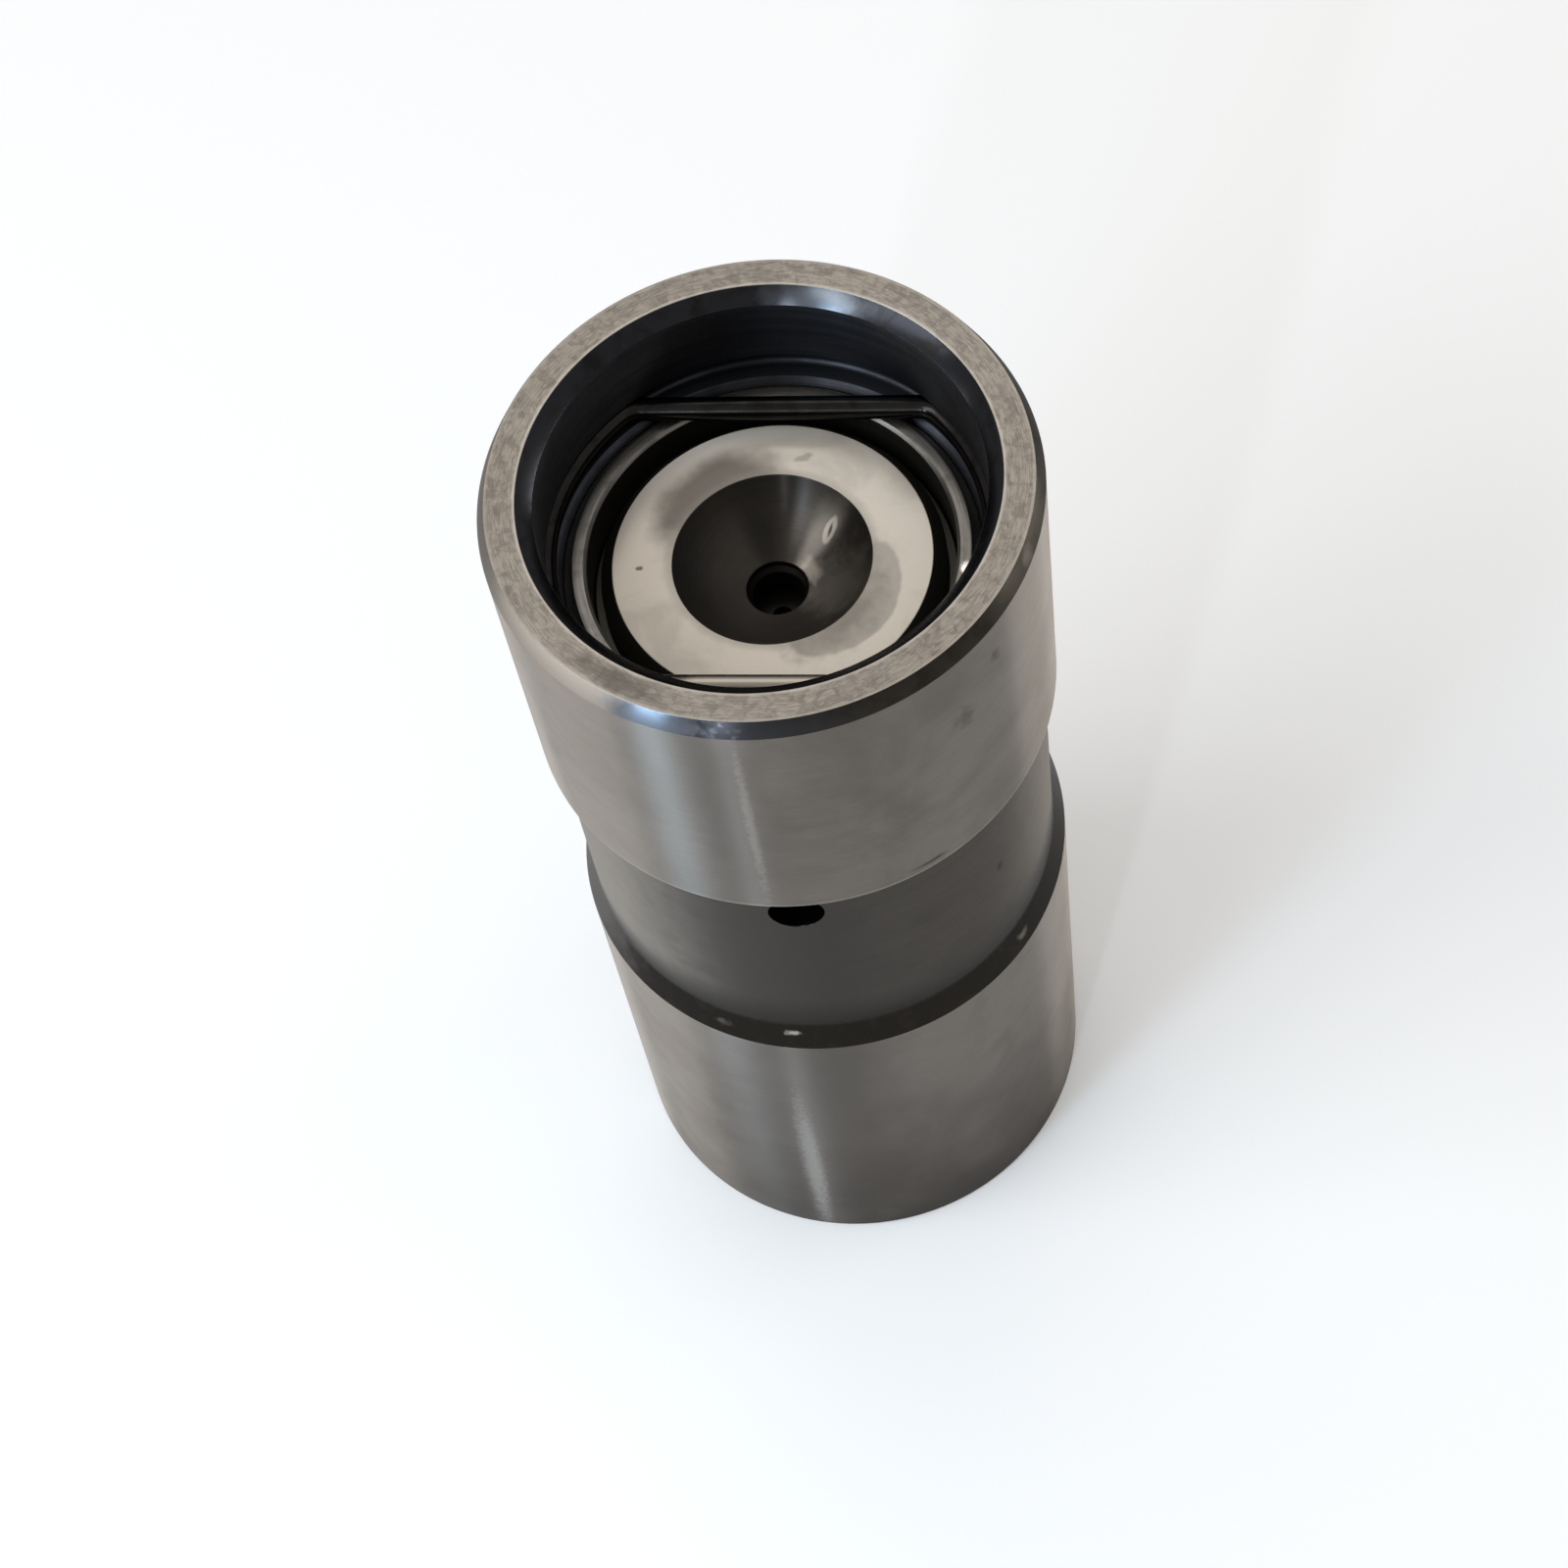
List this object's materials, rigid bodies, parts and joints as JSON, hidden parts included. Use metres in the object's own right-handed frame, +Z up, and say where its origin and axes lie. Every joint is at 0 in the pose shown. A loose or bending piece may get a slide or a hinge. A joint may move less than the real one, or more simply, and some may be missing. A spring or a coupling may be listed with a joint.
{
  "type": "hydraulic valve lifter",
  "caption": "Hydraulic flat-foot valve lifter: ground steel cup with an oil band, holding a sprung plunger with a pushrod socket under a wire clip.",
  "frame": {"origin": "centre of the cam face at the foot of the lifter", "axes": "+Z up the lifter's axis towards the pushrod socket, -Y through the oil feed hole, +X across"},
  "size_m": [0.023, 0.023, 0.0516],
  "materials": {
    "hardened_body": "ground lands, dark heat-treated band, chamfers and mouth",
    "plunger_steel": "ground",
    "seat_steel": "bright lapped ring, darker socket",
    "spring_wire": "drawn and oiled wire",
    "sheet_steel": "stamped sheet",
    "ball_steel": "polished"
  },
  "bodies": {
    "lifter": {"lifter_body": "hardened_body", "retaining_clip": "spring_wire", "plunger_spring": "spring_wire"},
    "plunger_group": {"plunger": "plunger_steel", "pushrod_seat": "seat_steel", "metering_disc": "sheet_steel", "check_ball_cage": "sheet_steel", "check_ball_spring": "spring_wire"},
    "valve_ball": {"check_ball": "ball_steel"}
  },
  "joints": [
    {"name": "plunger_slide", "type": "slide", "parent": "lifter", "child": "plunger_group", "axis": [0, 0, 1], "range_m": [-0.004, 0], "stiffness_N_per_m": 2500, "springref_m": 0.003, "deforming": ["plunger_spring"]},
    {"name": "check_ball_slide", "type": "slide", "parent": "plunger_group", "child": "valve_ball", "axis": [0, 0, 1], "range_m": [-0.00035, 0], "stiffness_N_per_m": 50, "springref_m": 0.001, "deforming": ["check_ball_spring"]}
  ]
}
